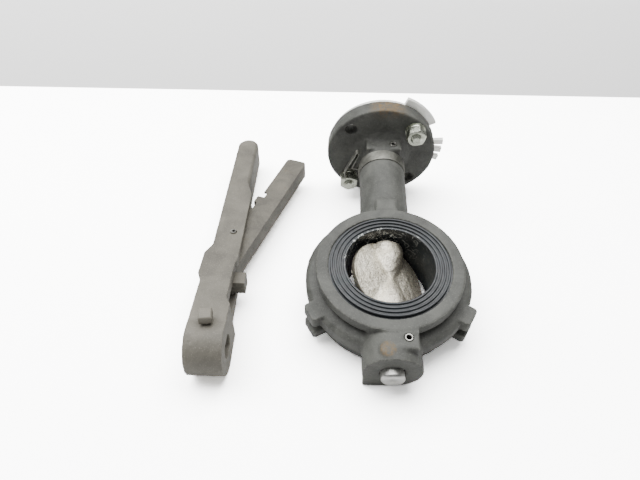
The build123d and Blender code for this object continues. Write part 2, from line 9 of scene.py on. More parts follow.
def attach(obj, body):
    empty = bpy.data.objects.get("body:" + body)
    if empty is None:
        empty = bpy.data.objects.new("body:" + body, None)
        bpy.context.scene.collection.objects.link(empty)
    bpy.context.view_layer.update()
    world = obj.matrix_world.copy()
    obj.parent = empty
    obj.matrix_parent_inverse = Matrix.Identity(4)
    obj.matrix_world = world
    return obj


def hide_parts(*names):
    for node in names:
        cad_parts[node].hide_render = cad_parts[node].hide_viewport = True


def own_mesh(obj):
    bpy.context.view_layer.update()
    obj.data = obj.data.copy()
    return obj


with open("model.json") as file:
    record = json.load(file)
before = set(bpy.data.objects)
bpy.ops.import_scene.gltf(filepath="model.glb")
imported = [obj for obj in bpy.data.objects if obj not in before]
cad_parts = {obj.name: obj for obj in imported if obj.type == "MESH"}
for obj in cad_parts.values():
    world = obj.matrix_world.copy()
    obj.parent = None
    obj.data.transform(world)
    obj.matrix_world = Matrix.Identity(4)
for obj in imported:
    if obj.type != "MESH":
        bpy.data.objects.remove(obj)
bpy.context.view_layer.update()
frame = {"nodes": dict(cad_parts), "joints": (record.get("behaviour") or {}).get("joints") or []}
nodes = frame["nodes"]
joints = {joint["name"]: joint for joint in frame["joints"]}
mm = 0.001

# the valve's own frame: stem along Y, bore along Z, origin at the bore's centre
boreCentre = Vector(joints["disc_turn"]["pos_m"])
stemAxis = Vector(joints["disc_turn"]["axis"]).normalized()
boreAxis = Vector((1, 0, 0)).cross(stemAxis)
valveTurn = Matrix((Vector((1, 0, 0)), stemAxis, boreAxis)).transposed().to_4x4()
valvePlace = Matrix.Translation(boreCentre) @ valveTurn @ Matrix.Scale(mm, 4)
restSwing = 33  # degrees that the disc stands open at rest
discSwing = Matrix.Rotation(math.radians(restSwing), 4, "Y")
pivotPoint = Vector(joints["trigger_squeeze"]["pos_m"])
pivotPlace = Matrix.Translation(pivotPoint) @ Matrix.Scale(mm, 4)


# ---------- camera, floor and lights ----------
def makeCamera():
    view = {
        "place": (-0.0014, -0.3257, 0.3357),
        "pitch": 43.9,   # degrees below the horizon
        "yaw": -2.0,     # degrees, to the left
        "roll": 0.06,
        "lens": 29.18,   # mm, on a sensor 36 mm wide
        "sensor": 36,
        "nearest": 0.01,
    }
    pitch, yaw = math.radians(view["pitch"]), math.radians(view["yaw"])
    look = Vector((math.sin(yaw) * math.cos(pitch), math.cos(yaw) * math.cos(pitch), -math.sin(pitch)))
    data = bpy.data.cameras.new("studioCamera")
    data.lens = view["lens"]
    data.sensor_width = view["sensor"]
    data.clip_start = view["nearest"]
    camera = bpy.data.objects.new("studioCamera", data)
    turn = look.to_track_quat("-Z", "Y").to_matrix().to_4x4()
    roll = Matrix.Rotation(math.radians(view["roll"]), 4, "Z")
    camera.matrix_world = Matrix.Translation(view["place"]) @ turn @ roll
    bpy.context.scene.collection.objects.link(camera)
    bpy.context.scene.camera = camera


def softLight(name, place, aim, size, watts):
    data = bpy.data.lights.new(name, "AREA")
    data.shape = "RECTANGLE"
    data.size, data.size_y = size
    data.energy = watts
    lamp = bpy.data.objects.new(name, data)
    lamp.location = place
    lamp.rotation_euler = (Vector(aim) - Vector(place)).to_track_quat("-Z", "Y").to_euler()
    bpy.context.scene.collection.objects.link(lamp)


# ---------- materials ----------
def toLinear(hexColour):
    # "rrggbb" in sRGB to a linear colour
    parts = [int(hexColour[i:i + 2], 16) / 255 for i in (0, 2, 4)]
    return [c / 12.92 if c <= 0.04045 else ((c + 0.055) / 1.055) ** 2.4 for c in parts] + [1]


def addNode(tree, kind, settings=None, links=None):
    # one node: settings go to its sockets or attributes, links to its input sockets
    node = tree.nodes.new(kind)
    for key, value in (settings or {}).items():
        if isinstance(key, int) or key in node.inputs:
            node.inputs[key].default_value = value
        else:
            setattr(node, key, value)
    for key, source in (links or {}).items():
        tree.links.new(source, node.inputs[key])
    return node


def startMaterial(name, shaderValues):
    material = bpy.data.materials.new(name)
    material.use_nodes = True
    tree = material.node_tree
    tree.nodes.clear()
    shader = addNode(tree, "ShaderNodeBsdfPrincipled", shaderValues)
    out = addNode(tree, "ShaderNodeOutputMaterial")
    tree.links.new(shader.outputs["BSDF"], out.inputs["Surface"])
    place = addNode(tree, "ShaderNodeTexCoord").outputs["Object"]
    return material, tree, shader, place


def perMm(size):
    # noise scale for a grain of this many millimetres, on coordinates in metres
    return 1000.0 / size


def ramp(tree, source, stops):
    # colour ramp from (position, hex) stops
    node = addNode(tree, "ShaderNodeValToRGB", {}, {"Fac": source})
    for index, (position, colour) in enumerate(stops):
        stop = node.color_ramp.elements[index] if index < 2 else node.color_ramp.elements.new(position)
        stop.position = position
        stop.color = toLinear(colour)
    return node.outputs["Color"]


def mixColours(tree, factor, first, second):
    # the factor and the first colour are sockets, the second is "rrggbb"
    node = addNode(tree, "ShaderNodeMix", {"data_type": "RGBA"}, {0: factor, 6: first})
    node.inputs[7].default_value = toLinear(second)
    return node.outputs[2]


def spread(tree, source, low, high, toLow=0.0, toHigh=1.0):
    node = addNode(tree, "ShaderNodeMapRange", {
        "From Min": low, "From Max": high, "To Min": toLow, "To Max": toHigh}, {"Value": source})
    return node.outputs["Result"]


def bumpFrom(tree, shader, layers):
    # stacked bump nodes from (height, depth in mm) layers
    last = None
    for height, depth in layers:
        links = {"Height": height}
        if last:
            links["Normal"] = last
        settings = {"Distance": depth * mm, "Strength": 1.0}
        last = addNode(tree, "ShaderNodeBump", settings, links).outputs["Normal"]
    tree.links.new(last, shader.inputs["Normal"])


def noiseAt(tree, place, size, detail=3.0, rough=0.55, warp=0.0):
    settings = {"Scale": perMm(size), "Detail": detail, "Roughness": rough, "Distortion": warp}
    return addNode(tree, "ShaderNodeTexNoise", settings, {"Vector": place}).outputs["Fac"]


def attribute(tree, name):
    return addNode(tree, "ShaderNodeAttribute", {"attribute_name": name}).outputs["Fac"]


def times(tree, first, second):
    return addNode(tree, "ShaderNodeMath", {"operation": "MULTIPLY"}, {0: first, 1: second}).outputs[0]


def castIron(name, look):
    # sprayed grey primer on a sand casting: mottled, with painted shade darkening its corners, worn on edges
    material, tree, shader, place = startMaterial(name, {"Roughness": 0.6, "Specular IOR Level": 0.4})
    broad = noiseAt(tree, place, look["blotch"], 4.0, 0.6, 0.6)
    colour = ramp(tree, broad, [(0.34, look["dark"]), (0.5, look["main"]), (0.68, look["light"])])
    speck = spread(tree, noiseAt(tree, place, 0.9, 4.0, 0.7), 0.56, 0.72)
    colour = mixColours(tree, speck, colour, look["speck"])
    rustNoise = noiseAt(tree, place, 9.0, 6.0, 0.7, 0.8)
    rustPatch = spread(tree, rustNoise, look["rustFrom"], look["rustFrom"] + 0.1)
    colour = mixColours(tree, rustPatch, colour, look["rust"])
    # painted shade: the hollows, where shade falls, take a much darker colour
    cavity = spread(tree, attribute(tree, "cavity"), 0.05, 0.6)
    colour = mixColours(tree, cavity, colour, look["hollowShade"])
    chipNoise = spread(tree, noiseAt(tree, place, 2.2, 5.0, 0.65), 0.42, 0.6)
    wear = times(tree, spread(tree, attribute(tree, "edge"), 0.3, 0.95, 0.0, 0.75), chipNoise)
    colour = mixColours(tree, wear, colour, look["worn"])
    scuffs = spread(tree, noiseAt(tree, place, 2.6, 6.0, 0.75), 0.4, 0.6)
    stain = times(tree, attribute(tree, "stain"), scuffs)
    colour = mixColours(tree, stain, colour, look["stain"])
    tree.links.new(colour, shader.inputs["Base Color"])
    grain = noiseAt(tree, place, 0.55, 3.0, 0.6)
    lumps = noiseAt(tree, place, 2.4, 3.0, 0.5)
    tree.links.new(spread(tree, grain, 0.3, 0.7, look["glossy"], look["matt"]), shader.inputs["Roughness"])
    rough = attribute(tree, "rough")
    bumpFrom(tree, shader, [(times(tree, grain, rough), 0.16), (times(tree, lumps, rough), 0.3)])
    return material


def rubber(name, greasy):
    # black moulded rubber, with pale fitting grease where the grease attribute says
    material, tree, shader, place = startMaterial(name, {"Roughness": 0.42, "Specular IOR Level": 0.55})
    broad = noiseAt(tree, place, 14.0, 3.0, 0.6)
    colour = ramp(tree, broad, [(0.35, "14181b"), (0.65, "1e2428")])
    dust = spread(tree, noiseAt(tree, place, 0.7, 4.0, 0.7), 0.6, 0.75, 0.0, 0.35)
    colour = mixColours(tree, dust, colour, "3c4448")
    roughness = spread(tree, noiseAt(tree, place, 5.0, 3.0), 0.3, 0.7, 0.34, 0.52)
    if greasy:
        smear = noiseAt(tree, place, 7.0, 5.0, 0.6, 2.2)
        smear = times(tree, spread(tree, smear, 0.56, 0.64), attribute(tree, "grease"))
        colour = mixColours(tree, smear, colour, "c9ccc8")
        film = spread(tree, attribute(tree, "grease"), 0.0, 1.0, 0.45, 0.2)
        roughness = times(tree, roughness, spread(tree, film, 0.0, 0.45, 0.3, 1.0))
    tree.links.new(colour, shader.inputs["Base Color"])
    tree.links.new(roughness, shader.inputs["Roughness"])
    bumpFrom(tree, shader, [(noiseAt(tree, place, 0.5, 2.0), 0.03), (noiseAt(tree, place, 6.0, 2.0), 0.1)])
    return material


def castNickel(name):
    # cast disc, nickel plated: rough grain all over, a polished line round its edge
    material, tree, shader, place = startMaterial(name, {"Metallic": 1.0, "Roughness": 0.42})
    broad = noiseAt(tree, place, 12.0, 4.0, 0.6, 0.5)
    colour = ramp(tree, broad, [(0.35, "dcd5c2"), (0.6, "f4eede")])
    pits = spread(tree, noiseAt(tree, place, 1.1, 6.0, 0.7), 0.36, 0.5, 0.85, 0.0)
    colour = mixColours(tree, times(tree, pits, attribute(tree, "rough")), colour, "857b66")
    tree.links.new(colour, shader.inputs["Base Color"])
    rough = attribute(tree, "rough")
    grain = noiseAt(tree, place, 0.9, 4.0, 0.6)
    tree.links.new(spread(tree, rough, 0.0, 1.0, 0.36, 0.46), shader.inputs["Roughness"])
    lumps = noiseAt(tree, place, 3.2, 3.0)
    bumpFrom(tree, shader, [(times(tree, grain, rough), 0.6), (times(tree, lumps, rough), 0.8)])
    return material


def barMetal(name, look):
    # drawn, plated or ground steel
    values = {"Metallic": look.get("metallic", 1.0), "Roughness": look["roughness"]}
    material, tree, shader, place = startMaterial(name, values)
    broad = noiseAt(tree, place, look.get("blotch", 6.0), 4.0, 0.6)
    colour = ramp(tree, broad, [(0.36, look["dark"]), (0.62, look["light"])])
    stainFrom = look.get("stainFrom", 0.62)
    stainMask = spread(tree, noiseAt(tree, place, 2.4, 6.0, 0.7), stainFrom, stainFrom + 0.1)
    colour = mixColours(tree, stainMask, colour, look.get("stain", look["dark"]))
    tree.links.new(colour, shader.inputs["Base Color"])
    fine = noiseAt(tree, place, 0.8, 3.0, 0.6)
    low, high = look["roughness"] - 0.08, look["roughness"] + 0.1
    tree.links.new(spread(tree, fine, 0.3, 0.7, low, high), shader.inputs["Roughness"])
    bumpFrom(tree, shader, [(fine, 0.04)])
    return material


def acetal(name):
    # cream moulded plastic of the hidden bushings
    material, tree, shader, place = startMaterial(name, {"Roughness": 0.4, "Specular IOR Level": 0.5})
    colour = ramp(tree, noiseAt(tree, place, 4.0), [(0.35, "c9c3ad"), (0.65, "d9d4c2")])
    tree.links.new(colour, shader.inputs["Base Color"])
    bumpFrom(tree, shader, [(noiseAt(tree, place, 0.6), 0.02)])
    return material


# in each look, the near-black colour for the hollows is painted shade
bodyPaint = castIron("greyCastIron", {
    "blotch": 22.0, "dark": "3f403c", "main": "4b4c48", "light": "565752", "speck": "696a64",
    "rustFrom": 0.68, "rust": "4f4636", "hollowShade": "22221f", "worn": "8a8a82", "stain": "72592f",
    "glossy": 0.5, "matt": 0.7})
handlePaint = castIron("warmGreyCastIron", {
    "blotch": 30.0, "dark": "5b5850", "main": "68655c", "light": "757167", "speck": "8b877d",
    "rustFrom": 0.7, "rust": "5c4f3b", "hollowShade": "2e2b26", "worn": "9c998f", "stain": "8a857a",
    "glossy": 0.5, "matt": 0.68})
triggerPaint = castIron("triggerCastIron", {
    "blotch": 18.0, "dark": "524f48", "main": "5e5b52", "light": "6a665c", "speck": "7f7b71",
    "rustFrom": 0.62, "rust": "5c4d39", "hollowShade": "2b2823", "worn": "95928a", "stain": "827d72",
    "glossy": 0.5, "matt": 0.68})
seatRubber = rubber("seatRubber", True)
sealRubber = rubber("sealRubber", False)
discNickel = castNickel("castNickelDisc")
zincPlate = barMetal("brightZinc", {
    "roughness": 0.26, "dark": "a9ac9f", "light": "c6c9bc", "stain": "96917c"})
plateZinc = barMetal("plateZinc", {
    "roughness": 0.5, "metallic": 0.35, "blotch": 14.0,
    "dark": "eeeee6", "light": "fbfbf6", "stain": "d8d8cc"})
groundSteel = barMetal("groundStainless", {
    "roughness": 0.34, "dark": "a9a9a5", "light": "c4c4c0", "stainFrom": 0.7})
pinSteel = barMetal("pinSteel", {"roughness": 0.36, "dark": "8d8c87", "light": "b5b4af"})
strapSteel = barMetal("strapSteel", {
    "roughness": 0.5, "dark": "6f6f69", "light": "8b8b84", "stain": "6c6a62", "stainFrom": 0.56})
springSteel = barMetal("springSteel", {"roughness": 0.25, "dark": "c0c0be", "light": "dcdcda"})
bushingAcetal = acetal("bushingAcetal")
print("materials ready")


# ---------- meshes ----------
def toMesh(bm, name):
    mesh = bpy.data.meshes.new(name)
    bm.to_mesh(mesh)
    bm.free()
    return mesh


def addPiece(name, mesh, material, body, replaced, sharp):
    # one finished piece: its material, its body and the CAD nodes that it stands for
    mesh.materials.clear()
    mesh.materials.append(material)
    mesh.shade_smooth()
    mesh.set_sharp_from_angle(angle=math.radians(sharp))
    piece = bpy.data.objects.new(name, mesh)
    bpy.context.scene.collection.objects.link(piece)
    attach(piece, body)
    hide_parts(*replaced)
    return piece


def mergedCopy(node, place=None):
    # a welded copy of a CAD node, moved back into the frame that place stands for
    bm = bmesh.new()
    bm.from_mesh(nodes[node].data)
    bmesh.ops.remove_doubles(bm, verts=bm.verts, dist=2e-6)
    if place:
        bmesh.ops.transform(bm, matrix=place.inverted(), verts=bm.verts)
    return bm


def throughModifiers(mesh, steps):
    # runs modifiers on a mesh and returns the result; each step is (type, settings)
    holder = bpy.data.objects.new("holder", mesh)
    bpy.context.scene.collection.objects.link(holder)
    for kind, settings in steps:
        modifier = holder.modifiers.new(kind, kind)
        for key, value in settings.items():
            setattr(modifier, key, value)
    graph = bpy.context.evaluated_depsgraph_get()
    result = bpy.data.meshes.new_from_object(holder.evaluated_get(graph))
    bpy.data.objects.remove(holder)
    return result


def readVectors(data, name, width, kind=float):
    # one row of numbers per vertex or edge
    values = np.zeros(len(data) * width, kind)
    data.foreach_get(name, values)
    return values.reshape(-1, width)


def curvature(mesh):
    # edge and cavity attributes from how far each vertex stands out of its neighbours
    count = len(mesh.vertices)
    places = readVectors(mesh.vertices, "co", 3)
    normals = readVectors(mesh.vertices, "normal", 3)
    ends = readVectors(mesh.edges, "vertices", 2, int)
    links = np.bincount(ends.ravel(), minlength=count).clip(1)
    turn = np.zeros(count)
    for a, b in ((0, 1), (1, 0)):
        step = places[ends[:, b]] - places[ends[:, a]]
        lean = -(step * normals[ends[:, a]]).sum(1) / np.linalg.norm(step, axis=1).clip(1e-9)
        turn += np.bincount(ends[:, a], weights=lean, minlength=count)
    turn /= links
    for blur in range(3):
        near = np.bincount(ends[:, 0], weights=turn[ends[:, 1]], minlength=count)
        near += np.bincount(ends[:, 1], weights=turn[ends[:, 0]], minlength=count)
        turn = 0.5 * turn + 0.5 * near / links
    for name, values in (("edge", (turn * 5).clip(0, 1)), ("cavity", (-turn * 5).clip(0, 1))):
        mesh.attributes.new(name, "FLOAT", "POINT").data.foreach_set("value", values)


def paintAttribute(mesh, name, rule):
    # an attribute worked out from each vertex's place by a rule
    values = [rule(vertex.co) for vertex in mesh.vertices]
    mesh.attributes.new(name, "FLOAT", "POINT").data.foreach_set("value", values)


def blended(mesh, softAt, steps):
    # extra smoothing where the rule says, for the wide fillets of a casting
    holder = bpy.data.objects.new("holder", mesh)
    bpy.context.scene.collection.objects.link(holder)
    group = holder.vertex_groups.new(name="soft")
    for vertex in mesh.vertices:
        weight = softAt(vertex.co)
        if weight > 0:
            group.add([vertex.index], min(1.0, weight), "REPLACE")
    modifier = holder.modifiers.new("soft", "SMOOTH")
    modifier.factor, modifier.iterations, modifier.vertex_group = 0.5, steps, "soft"
    graph = bpy.context.evaluated_depsgraph_get()
    result = bpy.data.meshes.new_from_object(holder.evaluated_get(graph))
    bpy.data.objects.remove(holder)
    return result


def castMesh(node, place, look):
    # a merged copy remeshed in its own frame (mm), smoothed and roughened like a sand casting
    mesh = toMesh(mergedCopy(node, place), node + "Cast")
    mesh = throughModifiers(mesh, [("REMESH", {"mode": "VOXEL", "voxel_size": look["voxel"]}),
                                   ("SMOOTH", {"factor": 0.5, "iterations": look["smooth"]})])
    if "softAt" in look:
        mesh = blended(mesh, look["softAt"], look["softSteps"])
    mesh = throughModifiers(mesh, [("DECIMATE", {"ratio": look["keep"]})])
    moved = []
    for vertex in mesh.vertices:
        size = look["lumps"] * look["roughAt"](vertex.co)
        moved.extend(vertex.co + vertex.normal * noise.noise(vertex.co * 0.22) * size)
    mesh.vertices.foreach_set("co", moved)
    mesh.update()
    curvature(mesh)
    paintAttribute(mesh, "rough", look["roughAt"])
    return mesh


def spun(outline, axis, steps):
    # full turn of an outline of (radius, height) points about the stem (Y) or the bore (Z)
    bm = bmesh.new()
    turn = (0, 1, 0) if axis == "Y" else (0, 0, 1)
    verts = [bm.verts.new((r, h, 0) if axis == "Y" else (r, 0, h)) for r, h in outline]
    edges = [bm.edges.new(pair) for pair in zip(verts, verts[1:] + verts[:1])]
    bmesh.ops.spin(bm, geom=verts + edges, cent=(0, 0, 0), axis=turn, angle=2 * math.pi, steps=steps,
                   use_merge=True)
    bmesh.ops.remove_doubles(bm, verts=bm.verts, dist=1e-5)
    bmesh.ops.recalc_face_normals(bm, faces=bm.faces)
    return bm


def carried(bm, matrix):
    # moves a bmesh by a matrix
    bmesh.ops.transform(bm, matrix=matrix, verts=bm.verts)
    return bm


def softened(bm, width, segments=2, angle=30):
    # bevels every edge sharper than angle
    edges = [e for e in bm.edges if len(e.link_faces) == 2 and e.calc_face_angle(0) > math.radians(angle)]
    bmesh.ops.bevel(bm, geom=edges, offset=width, offset_type="OFFSET", segments=segments, profile=0.5,
                    affect="EDGES", clamp_overlap=True, material=-1)
    return bm


def addTo(bm, other):
    # joins another bmesh into this one
    mesh = toMesh(other, "part")
    bm.from_mesh(mesh)
    bpy.data.meshes.remove(mesh)
    return bm


# ---------- body casting ----------
def fade(value, start, end):
    # 0 at start, 1 at end, straight between
    return max(0.0, min(1.0, (value - start) / (end - start)))


def bodyRough(point):
    # gasket faces are machined smooth
    radius = math.hypot(point.x, point.y)
    return 0.12 if radius < 60 and abs(point.z) > 21.6 else 1.0


def flangeStain(point):
    # brown scuffs on the upper rim of the top flange, and on the blank medallion
    onRim = fade(point.z, 40, 50) * fade(abs(point.x - 4), 20, 9) * fade(abs(point.y - 153), 9, 5)
    onMedal = 0.6 * fade(math.hypot(point.x + 4.9, point.y + 69), 6.2, 5.0) * fade(point.z, 19, 20.5)
    return 0.8 * onRim + onMedal


def bodySoft(point):
    # wide fillets: neck, boss, pads and the web's shoulders, but not the rings' and the flange's edges
    radius = math.hypot(point.x, point.y)
    if radius < 57.5 or (point.y < 0 and abs(point.z) > 20.5 and radius < 59.5):
        return 0.0
    stem = math.hypot(point.x, point.z)
    if point.y > 0:
        return 0.9 * fade(point.y, 57, 60) * fade(point.y, 147.2, 146.0) if stem < 38 else 0.0
    return 0.9 * fade(point.y, -50, -56) * fade(point.y, -76.2, -74.5)


bodyLook = {"voxel": 0.8, "smooth": 5, "keep": 0.62, "lumps": 0.18, "roughAt": bodyRough,
            "softAt": bodySoft, "softSteps": 26}
bodyMesh = castMesh("body_casting", valvePlace, bodyLook)
paintAttribute(bodyMesh, "stain", flangeStain)
bodyMesh.transform(valvePlace)
addPiece("bodyCasting", bodyMesh, bodyPaint, "valve_body", ["body_casting"], 60)
print("body ready", len(bodyMesh.polygons))

# ---------- rubber seat ----------
seatLook = {
    "bore": 33.5, "wall": 39.0, "lip": 46.5, "lipBack": 18.0, "top": 23.0,  # mm
    "ribs": 4, "ribRise": 0.9, "ribShare": 0.6, "groove": 1.2, "edgeGroove": 2.6, "mouth": 2.2,
    "stemHole": 9.8, "reach": 44,
}


def seatOutline(look):
    # rounded ribs on both face lips, from the bore outwards and back
    pitch = (look["lip"] - look["bore"]) / look["ribs"]
    width = pitch * look["ribShare"]
    face = [(look["bore"], look["top"] - look["mouth"])]
    for index in range(look["ribs"]):
        start = look["bore"] + index * pitch
        for step in range(9):
            swing = math.pi * step / 8
            rise = math.sin(swing) ** 0.55
            across = start + width * (1 - math.cos(swing)) / 2
            face.append((across, look["top"] - look["ribRise"] * (1 - rise)))
        depth = look["edgeGroove"] if index == look["ribs"] - 1 else look["groove"]
        face.append((start + width, look["top"] - depth))
        face.append((start + pitch, look["top"] - depth))
    front = face + [(look["lip"], look["lipBack"]), (look["wall"], look["lipBack"])]
    return front + [(r, -h) for r, h in reversed(front)]


def cutWith(mesh, tool, operation):
    # a boolean of a mesh and another mesh
    holder = bpy.data.objects.new("tool", tool)
    bpy.context.scene.collection.objects.link(holder)
    settings = {"operation": operation, "object": holder, "solver": "MANIFOLD"}
    mesh = throughModifiers(mesh, [("BOOLEAN", settings)])
    bpy.data.objects.remove(holder)
    return mesh


def drilled(mesh, radius, low, high, sides=64):
    # a round hole along the stem axis, through a mesh in the valve's frame
    drill = bmesh.new()
    bmesh.ops.create_cone(drill, cap_ends=True, segments=sides, radius1=radius, radius2=radius,
                          depth=high - low)
    bmesh.ops.rotate(drill, matrix=Matrix.Rotation(math.radians(90), 3, "X"), verts=drill.verts)
    bmesh.ops.translate(drill, vec=(0, (low + high) / 2, 0), verts=drill.verts)
    return cutWith(mesh, toMesh(drill, "drill"), "DIFFERENCE")


def greaseAt(point):
    # fitting grease in the bore's mouth, most at the upper left
    radius = math.hypot(point.x, point.y)
    if radius > 35.2 or point.z < -6:
        return 0.0
    around = math.degrees(math.atan2(point.y, point.x))
    near = max(0.0, 1 - abs((around - 118 + 180) % 360 - 180) / 95)
    return min(1.0, near * 1.6)


seatMesh = toMesh(spun(seatOutline(seatLook), "Z", 160), "seatLiner")
seatMesh = drilled(seatMesh, seatLook["stemHole"], -seatLook["reach"], seatLook["reach"])
paintAttribute(seatMesh, "grease", greaseAt)
seatMesh.transform(valvePlace)
addPiece("seatLiner", seatMesh, seatRubber, "valve_body", ["seat_liner"], 40)
print("seat ready")

# ---------- disc ----------
discPlace = valvePlace @ discSwing


def discRough(point):
    # the sealing edge is machined
    return 0.0 if point.length > 33.0 and abs(point.z) < 2.6 else 1.0


def discSoft(point):
    # the hub's noses run smoothly into the plate; the rim stays crisp
    return fade(math.hypot(point.x, point.y), 32.0, 28.0)


discLook = {"voxel": 0.5, "smooth": 5, "keep": 0.9, "lumps": 0.25, "roughAt": discRough,
            "softAt": discSoft, "softSteps": 60}
discMesh = castMesh("disc", discPlace, discLook)
discMesh.transform(discPlace)
addPiece("discCasting", discMesh, discNickel, "disc_assembly", ["disc"], 60)
print("disc ready", len(discMesh.polygons))


# ---------- stems ----------
stemLook = {
    "radius": 9.5, "tip": 8.5, "end": -83.0, "shoulder": -74.0, "inner": -14.4,  # mm along the stem
    "groove": -60.0, "grooveHalf": 3.2, "grooveDepth": 2.9, "axis": 0.01, "edge": 0.25,
}


def lowerStemOutline(look):
    # a centre mark and a chamfer at the free end, then the groove that the roll pin runs in
    radius, tip, end = look["radius"], look["tip"], look["end"]
    floor, near, far = (radius - look["grooveDepth"], look["groove"] - look["grooveHalf"],
                        look["groove"] + look["grooveHalf"])
    freeEnd = [(look["axis"], end + 0.25), (1.2, end + 0.12), (1.5, end), (tip - 1.7, end),
               (tip - 1.4, end + 0.1), (tip - 0.1, end + 1.4), (tip, end + 1.7)]
    shoulder = [(tip, look["shoulder"]), (radius, look["shoulder"])]
    groove = [(radius, near), (floor, near), (floor, far), (radius, far)]
    return freeEnd + shoulder + groove + [(radius, look["inner"]), (look["axis"], look["inner"])]


lowerStem = toMesh(carried(spun(lowerStemOutline(stemLook), "Y", 72), valvePlace), "lowerStem")
addPiece("lowerStem", lowerStem, groundSteel, "disc_assembly", ["lower_stem"], 30)
upperStem = toMesh(softened(mergedCopy("upper_stem"), stemLook["edge"] * mm), "upperStem")
addPiece("upperStem", upperStem, groundSteel, "disc_assembly", ["upper_stem"], 30)


# ---------- handle and trigger ----------
def allRough(point):
    # sand-cast all over
    return 1.0


handleLook = {"voxel": 0.55, "smooth": 5, "keep": 0.75, "lumps": 0.16, "roughAt": allRough}
handleMesh = castMesh("handle_casting", pivotPlace, handleLook)
handleMesh.transform(pivotPlace)
addPiece("handleCasting", handleMesh, handlePaint, "handle", ["handle_casting"], 60)

triggerLook = {"voxel": 0.45, "smooth": 4, "keep": 0.8, "lumps": 0.12, "roughAt": allRough}
triggerMesh = castMesh("trigger", pivotPlace, triggerLook)
triggerMesh.transform(pivotPlace)
addPiece("triggerCasting", triggerMesh, triggerPaint, "trigger", ["trigger"], 60)
print("handle and trigger ready", len(handleMesh.polygons), len(triggerMesh.polygons))


# ---------- roll pins ----------
def rollPin(look):
    # slotted spring pin, chamfered at its top, about its own axis
    outer, inner, half, lip = look["radius"], look["radius"] - look["wall"], look["half"], look["lip"]
    outline = [(outer, -half), (outer, half - lip), (outer - lip, half), (inner + lip, half),
               (inner, half - lip), (inner, -half)]
    bm = bmesh.new()
    verts = [bm.verts.new((r, 0, h)) for r, h in outline]
    edges = [bm.edges.new(pair) for pair in zip(verts, verts[1:] + verts[:1])]
    gap = math.radians(look["slot"])
    bmesh.ops.rotate(bm, matrix=Matrix.Rotation(gap / 2, 3, "Z"), verts=bm.verts)
    bmesh.ops.spin(bm, geom=verts + edges, cent=(0, 0, 0), axis=(0, 0, 1), angle=2 * math.pi - gap, steps=40)
    bmesh.ops.holes_fill(bm, edges=bm.edges, sides=6)
    bmesh.ops.recalc_face_normals(bm, faces=bm.faces)
    return bm


stemPin = {"radius": 2.95, "wall": 1.2, "slot": 14, "lip": 0.35, "across": 9.8}  # mm, slot in degrees
pivotPin = {"radius": 2.45, "wall": 1.1, "slot": 16, "lip": 0.35, "half": 15.2}
for name, node, along, half in (("neckRollPin", "neck_roll_pin", 138.0, 20.5),
                                ("bossRollPin", "boss_roll_pin", -60.0, 21.5)):
    spot = Matrix.Translation((stemPin["across"], along, 0))
    pin = toMesh(carried(rollPin({**stemPin, "half": half}), valvePlace @ spot), name)
    addPiece(name, pin, pinSteel, "valve_body", [node], 40)
pin = toMesh(carried(rollPin(pivotPin), pivotPlace), "triggerPivotPin")
addPiece("triggerPivotPin", pin, pinSteel, "handle", ["trigger_pivot_pin"], 40)

# ---------- plate bolts, nuts and washers ----------
boltLook = {
    "radius": 4.9, "root": 4.35, "pitch": 1.5, "threadLow": 131.7, "threadHigh": 144.0,  # mm
    "circle": 41.275, "angles": (45, 225), "plateTop": 165.0, "head": 6.5, "flats": 16.0,
    "nutTop": 143.1, "nut": 8.4, "chamfer": 0.55, "flatShare": 0.94,
}
washerLook = {
    "inner": 5.1, "outer": 8.5, "edge": 0.25, "cornerIn": 0.2, "top": 145.6, "thick": 2.45,
    "sweep": 350, "first": 100, "further": 60,  # degrees
}


def threadedShank(look):
    # a shank along Y with a real helical thread on its lower end
    bm = bmesh.new()
    turns = math.ceil((look["threadHigh"] - look["threadLow"]) / look["pitch"]) - 1
    half, perTurn = look["pitch"] / 2, 32
    root, crest = look["root"], look["radius"]
    profile = [(root, 0.0), (crest, half * 0.8), (crest, half * 1.2), (root, look["pitch"])]
    verts = [bm.verts.new((r, look["threadLow"] + 0.9 + h, 0)) for r, h in profile]
    edges = [bm.edges.new(pair) for pair in zip(verts, verts[1:])]
    bmesh.ops.spin(bm, geom=verts + edges, cent=(0, 0, 0), axis=(0, -1, 0), angle=2 * math.pi * turns,
                   steps=perTurn * turns, dvec=(0, look["pitch"] / perTurn, 0))
    bmesh.ops.remove_doubles(bm, verts=bm.verts, dist=0.01)
    bmesh.ops.recalc_face_normals(bm, faces=bm.faces)
    tip, top = look["threadLow"], look["plateTop"] + 1
    core = [(0.01, tip), (root - 0.9, tip), (root - 0.1, tip + 0.9), (root, tip + 1.0),
            (root, look["threadHigh"]), (crest, look["threadHigh"] + 0.5), (crest, top), (0.01, top)]
    return addTo(bm, spun(core, "Y", 48))


def hexBlock(look, low, high, bothEnds, turn=0.0):
    # a hexagon along Y with chamfered corners: two crossed solids, the hexagon and a turned cone
    radius, flat = look["flats"] / math.sqrt(3), look["flats"] / 2 * look["flatShare"]
    hexagon = bmesh.new()
    bmesh.ops.create_cone(hexagon, cap_ends=True, segments=6, radius1=radius, radius2=radius,
                          depth=high - low)
    bmesh.ops.rotate(hexagon, matrix=Matrix.Rotation(math.radians(30 + turn), 3, "Z"), verts=hexagon.verts)
    bmesh.ops.rotate(hexagon, matrix=Matrix.Rotation(math.radians(90), 3, "X"), verts=hexagon.verts)
    bmesh.ops.translate(hexagon, vec=(0, (low + high) / 2, 0), verts=hexagon.verts)
    corner = radius + 0.4
    drop = (corner - flat) * look["chamfer"]
    underside = [(flat, low), (corner, low + drop)] if bothEnds else [(corner, low)]
    outline = [(0.01, low)] + underside + [(corner, high - drop), (flat, high), (0.01, high)]
    crossed = cutWith(toMesh(hexagon, "hexagon"), toMesh(spun(outline, "Y", 72), "cone"), "INTERSECT")
    bm = bmesh.new()
    bm.from_mesh(crossed)
    return bm


